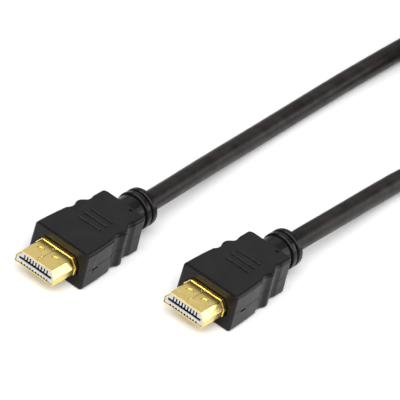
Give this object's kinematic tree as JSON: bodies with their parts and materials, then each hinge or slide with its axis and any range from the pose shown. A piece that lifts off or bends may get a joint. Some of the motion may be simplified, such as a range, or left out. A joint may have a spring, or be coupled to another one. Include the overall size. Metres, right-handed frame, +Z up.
{
  "type": "hdmi cable",
  "caption": "Digital video cable: a moulded black plug with a gold-coloured flat metal shell at each end of a round black cord, which is put away in a strapped coil.",
  "frame": {"origin": "on the ground, at the bottom centre of the box round the two plugs", "axes": "+Z up; +X along the plugs from their metal tips to their cords; +Y to the left of +X, towards plug a"},
  "size_m": [0.2415, 0.0775, 0.0142],
  "materials": {
    "housing": "black moulded plastic, fine satin grain",
    "shell": "gold-coloured plating on folded sheet metal, bright satin",
    "contact_block": "pale moulded plastic",
    "contacts": "gold-coloured plating",
    "jacket": "soft black plastic jacket, low gloss",
    "strap": "black woven hook-and-loop strap"
  },
  "bodies": {
    "root": {"housing_a": "housing", "shell_a": "shell", "contact_block_a": "contact_block", "contact_a_lower_1": "contacts", "contact_a_lower_2": "contacts", "contact_a_lower_3": "contacts", "contact_a_lower_4": "contacts", "contact_a_lower_5": "contacts", "contact_a_lower_6": "contacts", "contact_a_lower_7": "contacts", "contact_a_lower_8": "contacts", "contact_a_lower_9": "contacts", "contact_a_lower_10": "contacts", "contact_a_upper_1": "contacts", "contact_a_upper_2": "contacts", "contact_a_upper_3": "contacts", "contact_a_upper_4": "contacts", "contact_a_upper_5": "contacts", "contact_a_upper_6": "contacts", "contact_a_upper_7": "contacts", "contact_a_upper_8": "contacts", "contact_a_upper_9": "contacts", "housing_b": "housing", "shell_b": "shell", "contact_block_b": "contact_block", "contact_b_lower_1": "contacts", "contact_b_lower_2": "contacts", "contact_b_lower_3": "contacts", "contact_b_lower_4": "contacts", "contact_b_lower_5": "contacts", "contact_b_lower_6": "contacts", "contact_b_lower_7": "contacts", "contact_b_lower_8": "contacts", "contact_b_lower_9": "contacts", "contact_b_lower_10": "contacts", "contact_b_upper_1": "contacts", "contact_b_upper_2": "contacts", "contact_b_upper_3": "contacts", "contact_b_upper_4": "contacts", "contact_b_upper_5": "contacts", "contact_b_upper_6": "contacts", "contact_b_upper_7": "contacts", "contact_b_upper_8": "contacts", "contact_b_upper_9": "contacts", "cable_lead_a": "jacket", "cable_lead_b": "jacket", "cable_coil": "jacket", "coil_strap": "strap"}
  },
  "joints": []
}
